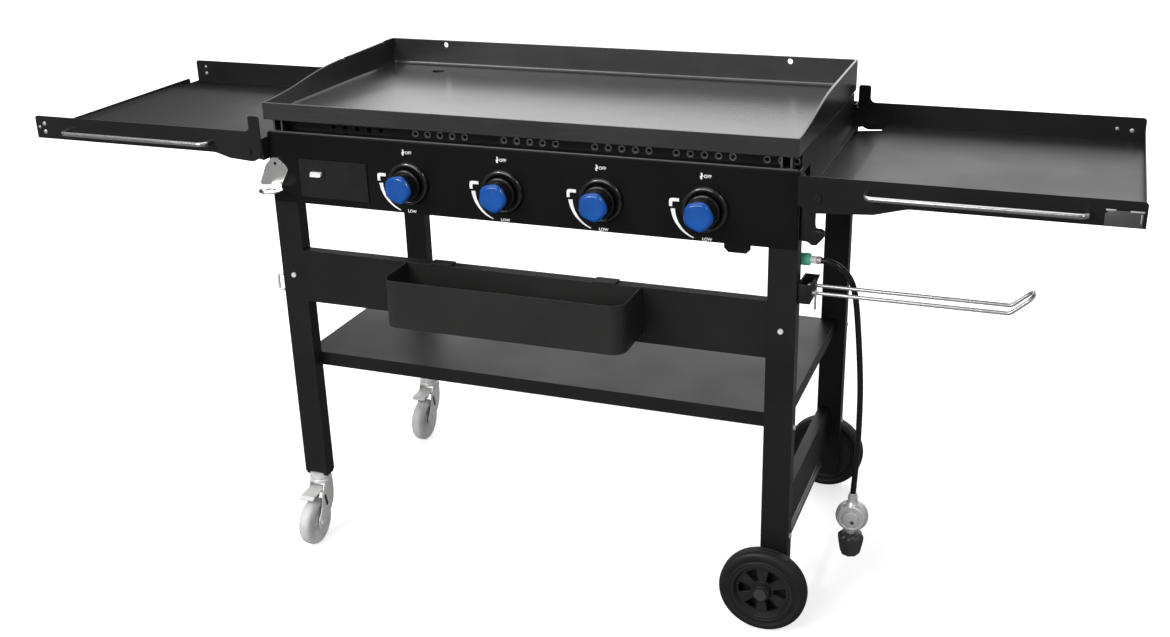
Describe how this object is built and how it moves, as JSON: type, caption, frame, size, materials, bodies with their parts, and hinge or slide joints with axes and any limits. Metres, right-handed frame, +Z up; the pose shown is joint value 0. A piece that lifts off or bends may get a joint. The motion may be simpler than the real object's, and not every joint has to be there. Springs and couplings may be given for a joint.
{
  "type": "gas griddle station",
  "caption": "Outdoor gas griddle on a wheeled stand: flat cooking plate with swept walls, front knobs, folding side shelves, lower shelf, front bin and hanging gas hose.",
  "frame": {"origin": "middle of the footprint at the floor", "axes": "+X to the right as the cook sees it, -Y towards the cook, +Z up"},
  "size_m": [1.924, 0.6312, 0.888],
  "materials": {
    "black_steel": "black powder coat, satin",
    "panel_steel": "black powder coat, semi-gloss",
    "griddle_steel": "rolled steel, oiled and seasoned dark",
    "zinc_steel": "bright zinc plate",
    "stainless": "polished stainless",
    "chrome_wire": "bright chrome plate",
    "burner_steel": "bare stainless tube",
    "valve_brass": "machined brass",
    "black_plastic": "moulded, fine matt grain",
    "blue_plastic": "cobalt blue, glossy",
    "wheel_tyre": "moulded black tyre",
    "wheel_rim": "moulded black",
    "caster_rubber": "grey tread and hub",
    "hose_rubber": "smooth black hose",
    "fitting_metal": "plated fitting with a green band",
    "ferrule_metal": "crimped plated sleeve",
    "regulator_zinc": "die cast, satin grey"
  },
  "bodies": {
    "stand": {"burner_box": "black_steel", "control_panel": "panel_steel", "knob_bezels": "black_plastic", "burner_valves": "valve_brass", "gas_manifold": "black_steel", "burner_tubes": "burner_steel", "burner_rail": "black_steel", "igniter_housing": "black_plastic", "leg_front_left": "black_steel", "leg_rear_left": "black_steel", "leg_front_right": "black_steel", "leg_rear_right": "black_steel", "hinge_brackets_left": "black_steel", "hinge_brackets_right": "black_steel", "hinge_pins": "zinc_steel", "front_rail": "black_steel", "lower_shelf": "black_steel", "side_rail": "black_steel", "towel_holder": "chrome_wire", "holder_bracket": "black_steel", "bottle_opener": "stainless", "side_hooks": "black_steel", "wheel_axle": "zinc_steel", "caster_stems": "zinc_steel", "hose_fitting": "fitting_metal", "hose_ferrule": "ferrule_metal", "gas_hose": "hose_rubber", "gas_regulator": "regulator_zinc", "cup_runners": "black_steel", "frame_bolts": "zinc_steel"},
    "griddle": {"griddle_pan": "griddle_steel", "pan_feet": "zinc_steel"},
    "stem_1": {"valve_stem_1": "valve_brass"},
    "burner_knob_1": {"knob_1": "blue_plastic"},
    "stem_2": {"valve_stem_2": "valve_brass"},
    "burner_knob_2": {"knob_2": "blue_plastic"},
    "stem_3": {"valve_stem_3": "valve_brass"},
    "burner_knob_3": {"knob_3": "blue_plastic"},
    "stem_4": {"valve_stem_4": "valve_brass"},
    "burner_knob_4": {"knob_4": "blue_plastic"},
    "igniter": {"igniter_button": "black_plastic"},
    "shelf_left": {"side_shelf_left": "black_steel", "towel_rod_left": "chrome_wire"},
    "shelf_right": {"side_shelf_right": "black_steel", "towel_rod_right": "chrome_wire"},
    "bin": {"tool_bin": "black_steel"},
    "cup": {"grease_cup": "burner_steel"},
    "wheel_front": {"tyre_front": "wheel_tyre", "rim_front": "wheel_rim"},
    "wheel_rear": {"tyre_rear": "wheel_tyre", "rim_rear": "wheel_rim"},
    "caster_front": {"caster_fork_front": "zinc_steel", "caster_pins_front": "zinc_steel"},
    "roller_front": {"caster_wheel_front": "caster_rubber"},
    "pedal_front": {"caster_pedal_front": "zinc_steel"},
    "caster_rear": {"caster_fork_rear": "zinc_steel", "caster_pins_rear": "zinc_steel"},
    "roller_rear": {"caster_wheel_rear": "caster_rubber"},
    "pedal_rear": {"caster_pedal_rear": "zinc_steel"},
    "nut": {"hand_nut": "black_plastic"}
  },
  "joints": [
    {"name": "griddle_lift", "type": "slide", "parent": "stand", "child": "griddle", "axis": [0, 0, 1], "range_m": [0, 0.1]},
    {"name": "knob_1_push", "type": "slide", "parent": "stand", "child": "stem_1", "axis": [0, 1, 0], "range_m": [0, 0.003], "stiffness_N_per_m": 1200},
    {"name": "knob_1_turn", "type": "hinge", "parent": "stem_1", "child": "burner_knob_1", "pos_m": [-0.199, -0.23265, 0.737], "axis": [0, -1, 0], "range_deg": [0, 180]},
    {"name": "knob_2_push", "type": "slide", "parent": "stand", "child": "stem_2", "axis": [0, 1, 0], "range_m": [0, 0.003], "stiffness_N_per_m": 1200},
    {"name": "knob_2_turn", "type": "hinge", "parent": "stem_2", "child": "burner_knob_2", "pos_m": [-0.025, -0.23265, 0.737], "axis": [0, -1, 0], "range_deg": [0, 180]},
    {"name": "knob_3_push", "type": "slide", "parent": "stand", "child": "stem_3", "axis": [0, 1, 0], "range_m": [0, 0.003], "stiffness_N_per_m": 1200},
    {"name": "knob_3_turn", "type": "hinge", "parent": "stem_3", "child": "burner_knob_3", "pos_m": [0.149, -0.23265, 0.737], "axis": [0, -1, 0], "range_deg": [0, 180]},
    {"name": "knob_4_push", "type": "slide", "parent": "stand", "child": "stem_4", "axis": [0, 1, 0], "range_m": [0, 0.003], "stiffness_N_per_m": 1200},
    {"name": "knob_4_turn", "type": "hinge", "parent": "stem_4", "child": "burner_knob_4", "pos_m": [0.323, -0.23265, 0.737], "axis": [0, -1, 0], "range_deg": [0, 180]},
    {"name": "igniter_push", "type": "slide", "parent": "stand", "child": "igniter", "axis": [0, 1, 0], "range_m": [0, 0.004], "stiffness_N_per_m": 600},
    {"name": "shelf_left_fold", "type": "hinge", "parent": "stand", "child": "shelf_left", "pos_m": [-0.502, 0.01035, 0.776], "axis": [0, -1, 0], "range_deg": [0, 90]},
    {"name": "shelf_right_fold", "type": "hinge", "parent": "stand", "child": "shelf_right", "pos_m": [0.502, 0.01035, 0.776], "axis": [0, 1, 0], "range_deg": [0, 20]},
    {"name": "bin_lift", "type": "slide", "parent": "stand", "child": "bin", "axis": [0, 0, 1], "range_m": [0, 0.06]},
    {"name": "cup_pull", "type": "slide", "parent": "stand", "child": "cup", "axis": [0, 1, 0], "range_m": [0, 0.1]},
    {"name": "wheel_front_spin", "type": "hinge", "parent": "stand", "child": "wheel_front", "pos_m": [0.437, -0.24165, 0.076], "axis": [0, 1, 0], "continuous": true},
    {"name": "wheel_rear_spin", "type": "hinge", "parent": "stand", "child": "wheel_rear", "pos_m": [0.437, 0.29235, 0.076], "axis": [0, 1, 0], "continuous": true},
    {"name": "caster_front_swivel", "type": "hinge", "parent": "stand", "child": "caster_front", "pos_m": [-0.4485, -0.20665, 0.12], "axis": [0, 0, 1], "continuous": true},
    {"name": "caster_front_roll", "type": "hinge", "parent": "caster_front", "child": "roller_front", "pos_m": [-0.4485, -0.24265, 0.045], "axis": [1, 0, 0], "continuous": true},
    {"name": "caster_front_brake", "type": "hinge", "parent": "caster_front", "child": "pedal_front", "pos_m": [-0.4485, -0.21865, 0.105], "axis": [1, 0, 0], "range_deg": [0, 12]},
    {"name": "caster_rear_swivel", "type": "hinge", "parent": "stand", "child": "caster_rear", "pos_m": [-0.4485, 0.25735, 0.12], "axis": [0, 0, 1], "continuous": true},
    {"name": "caster_rear_roll", "type": "hinge", "parent": "caster_rear", "child": "roller_rear", "pos_m": [-0.4485, 0.22135, 0.045], "axis": [1, 0, 0], "continuous": true},
    {"name": "caster_rear_brake", "type": "hinge", "parent": "caster_rear", "child": "pedal_rear", "pos_m": [-0.4485, 0.24535, 0.105], "axis": [1, 0, 0], "range_deg": [0, 12]},
    {"name": "hand_nut_turn", "type": "hinge", "parent": "stand", "child": "nut", "pos_m": [0.558, -0.09735, 0.105], "axis": [0, 0, 1], "continuous": true}
  ]
}
